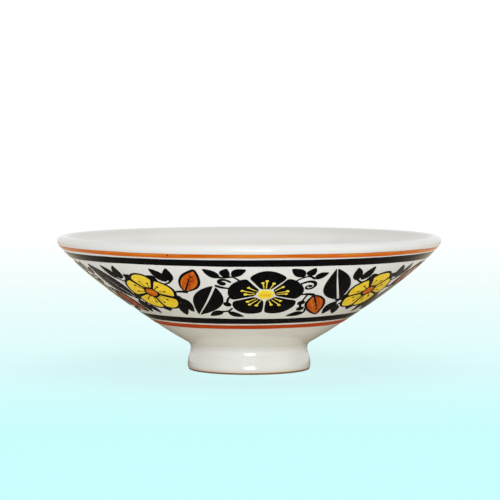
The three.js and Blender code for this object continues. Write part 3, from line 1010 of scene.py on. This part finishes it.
def vine(number):
    rng = random.Random(500 + number)
    first = number % 2 == 1
    pair = (number + 1) // 2
    black = blossom_place(f"black_blossom_{pair if first else pair % BLOSSOMS + 1}")
    yellow = blossom_place(f"yellow_blossom_{pair}")
    begin = black[0] if first else yellow[0]
    middle = begin + 180 / SPACES

    def local(azimuth, run):
        """A place on the wall in millimetres across and up from the middle of this space."""
        away = (azimuth - middle + 180) % 360 - 180
        return np.array([math.radians(away) * at_run(side, run)[0], run - band_middle])

    def spot(place):
        return local(begin + place[0], band_middle + place[1]) + (rng.uniform(-0.15, 0.15), 0)

    def petal_edge(blossom, toward):
        """Where a stem leaves a blossom on its way to a leaf's stalk."""
        centre = local(blossom[0], band_middle)
        way = toward - centre
        return centre + way / np.linalg.norm(way) * blossom[1] * STEM_START

    black_stalk = local(*corners_of(f"black_leaf_{number}")[0 if first else 1])
    orange_stalk = local(*corners_of(f"orange_leaf_{number}")[1 if first else 0])
    plan, near_black, near_yellow = (
        (AFTER_BLACK, orange_stalk, black_stalk) if first else (AFTER_YELLOW, black_stalk, orange_stalk))
    shapes = [
        stem(petal_edge(black, near_black), near_black, rng),
        stem(petal_edge(yellow, near_yellow), near_yellow, rng)]
    shapes += [leaflet(spot(base), spot(tip), LEAFLET * width, rng) for base, tip, width in plan["leaflets"]]
    shapes += [twig([spot(place) for place in points], rng, ENAMEL * 0.9) for points in plan["twigs"]]
    place, lean, size, hand = plan["tendril"]
    shapes += tendril(spot(place), lean, size, hand, rng)
    points, count = plan["berries"]
    stalk = [spot(place) for place in points]
    shapes.append(twig(stalk, rng, ENAMEL * 0.8))
    shapes += [dab(*place, BERRY * rng.uniform(0.95, 1.08), rng) for place in stalk[-count:]]
    painted(f"vine_{number}", shapes, middle, band_middle, black_enamel)


for number in range(1, SPACES + 1):
    vine(number)

# Table and light
# A pale table that runs back into a white surround. Soft lamps stand overhead, in front and to the
# right, and a low one behind the camera leaves two glints on the foot.
TABLE_REACH = 18000
TABLE_OPENING = 24.1
OPENING_POINTS = 64
TABLE_NEAR = "#ccffff"
TABLE_MIRRORED = "#ded3bf"
TINT_FADES = (0.048, 0.142)
NEAREST = 200
BOUNCE_NEAR = "#f7f0cd"
OPEN_LIGHT = 0.94
SHADOW_SEEN = 0.2
# Mirrored, the table near the bowl holds a painted shadow: full depth, and only this share of its light
SHADOW_MIRRORED = 1
MIRRORED_LIGHT = 0.25
WORLD_FILL = 0.65
LOW_LAMP = "#e2efff"
AIM_HEIGHT = 30

# Each fades between two distances from the foot's middle, in millimetres
BOUNCE_FADES = (35, 140)
SHADOW_FADES = (200, 800)
MIRRORED_FADES = (60, 180)


def seen_rays(tree):
    """Which rays see a thing itself, and which of them see it mirrored."""
    ray = add(tree, "LightPath").outputs
    mirrored = ray["Is Glossy Ray"]
    seen = add(tree, "Math", {0: ray["Is Camera Ray"], 1: mirrored}, operation="MAXIMUM")
    return add(tree, "Math", {0: seen, 1: ray["Is Transmission Ray"]}, operation="MAXIMUM"), mirrored


# Matt white to the rays that light the bowl, warm near it. The camera sees a faint shadow on it, and
# the glaze mirrors it dim and beige: near the bowl that mirrored image is a painted shadow, darker than
# its light makes it. Further out both see it even.
table_paint, tree = new_material("pale_table")
seen, mirrored = seen_rays(tree)
where = add(tree, "NewGeometry").outputs
# The near side's tint falls with one over the distance from the viewer's place. It is fixed to the
# table and stays where it is in other views.
ahead = add(tree, "SeparateXYZ", {0: where["Position"]}).outputs["Y"]
away = add(tree, "Math", {0: ahead, 1: CAMERA_DISTANCE * MM}, operation="ADD")
away = add(tree, "Math", {0: away, 1: NEAREST * MM}, operation="MAXIMUM")
steepness = add(tree, "Math", {0: CAMERA_HEIGHT * MM, 1: away}, operation="DIVIDE")
tint = add(tree, "MapRange", {"Value": steepness, "From Min": TINT_FADES[0], "From Max": TINT_FADES[1]})
tinted = add(tree, "Mix", {"Factor": tint, "A": "#ffffff", "B": TABLE_NEAR}, data_type="RGBA")
colour = add(tree, "Mix", {"Factor": mirrored, "A": tinted, "B": TABLE_MIRRORED}, data_type="RGBA")
distance = add(tree, "VectorMath", {0: where["Position"]}, operation="LENGTH")
starts, stops = (
    add(tree, "Mix", {"Factor": mirrored, "A": straight * MM, "B": in_glaze * MM})
    for straight, in_glaze in zip(SHADOW_FADES, MIRRORED_FADES))
fades = add(tree, "MapRange", {
    "Value": distance, "From Min": starts, "From Max": stops, "To Min": 1, "To Max": 0},
    interpolation_type="SMOOTHSTEP")
depth = add(tree, "Mix", {"Factor": mirrored, "A": SHADOW_SEEN, "B": SHADOW_MIRRORED})
shadow = add(tree, "Math", {0: depth, 1: fades}, operation="MULTIPLY")
level = add(tree, "Math", {0: shadow, 1: -OPEN_LIGHT, 2: 1}, operation="MULTIPLY_ADD")
even = add(tree, "Emission", {"Color": colour, "Strength": level})
# Near the bowl, mirrored rays keep only MIRRORED_LIGHT of the light: a painted shadow in the glaze
share = add(tree, "Mix", {"Factor": mirrored, "A": 1, "B": MIRRORED_LIGHT})
shaded = add(tree, "Math", {0: share, 1: shadow}, operation="MULTIPLY")
dimmed = add(tree, "Mix", {"Factor": shaded, "A": "#000000", "B": colour}, data_type="RGBA")
shown = add(tree, "AddShader", {0: even, 1: add(tree, "BsdfDiffuse", {"Color": dimmed})})
further = add(tree, "MapRange", {
    "Value": distance, "From Min": BOUNCE_FADES[0] * MM, "From Max": BOUNCE_FADES[1] * MM})
bounced = add(tree, "Mix", {"Factor": further, "A": BOUNCE_NEAR, "B": "#ffffff"}, data_type="RGBA")
upper = add(tree, "MixShader", {0: seen, 1: add(tree, "BsdfDiffuse", {"Color": bounced}), 2: shown})
both = add(tree, "MixShader", {0: where["Backfacing"], 1: upper, 2: add(tree, "BsdfTransparent")})
add(tree, "OutputMaterial", {"Surface": both})

# Under the foot, where the bowl covers it, the table is open, so light reaches the foot's well
# for a view from below
azimuth = full_turn(OPENING_POINTS)
opening = np.column_stack([np.sin(azimuth), -np.cos(azimuth)]) * TABLE_OPENING * MM
outside = opening * TABLE_REACH * MM / np.abs(opening).max(1, keepdims=True)
table_mesh = bpy.data.meshes.new("table")
table_mesh.from_pydata(
    [(x, y, 0) for x, y in np.vstack([opening, outside])], [],
    [(a, d, c, b) for a, b, c, d in quads(2, OPENING_POINTS, False)])
table_mesh.materials.append(table_paint)
place_object("table", table_mesh)

# The surround shows white and lights the bowl softly from all round
world = bpy.data.worlds.new("white_surround")
scene.world = world
world.use_nodes = True
tree = world.node_tree
tree.nodes.clear()
strength = add(tree, "MapRange", {"Value": seen_rays(tree)[0], "To Min": WORLD_FILL})
sky = add(tree, "Background", {"Color": "#ffffff", "Strength": strength})
add(tree, "OutputWorld", {"Surface": sky})


def lamp(name, place, size, power, shape="RECTANGLE"):
    """A flat lamp that faces the bowl, hidden from the camera. Its place and size are in metres."""
    data = bpy.data.lights.new(name, "AREA")
    data.shape = shape
    data.size, data.size_y = size
    data.energy = power
    made = place_object(name, data)
    made.location = place
    aim = Vector((0, 0, AIM_HEIGHT * MM)) - Vector(place)
    made.rotation_euler = aim.to_track_quat("-Z", "Y").to_euler()
    made.visible_camera = False
    return data


lamp("overhead_softbox", (0.15, 0.05, 1.5), (1.4, 1.4), 4.1)
lamp("front_softbox", (0, -1.2, 1.0), (0.9, 0.7), 1.9)
lamp("right_softbox", (1.4, -0.6, 0.5), (0.9, 0.8), 1.1)
low_lamp = lamp("low_front_lamp", (0.042, -1.15, 0.055), (0.4, 0.11), 5.3, "ELLIPSE")
low_lamp.color = linear(LOW_LAMP)[:3]
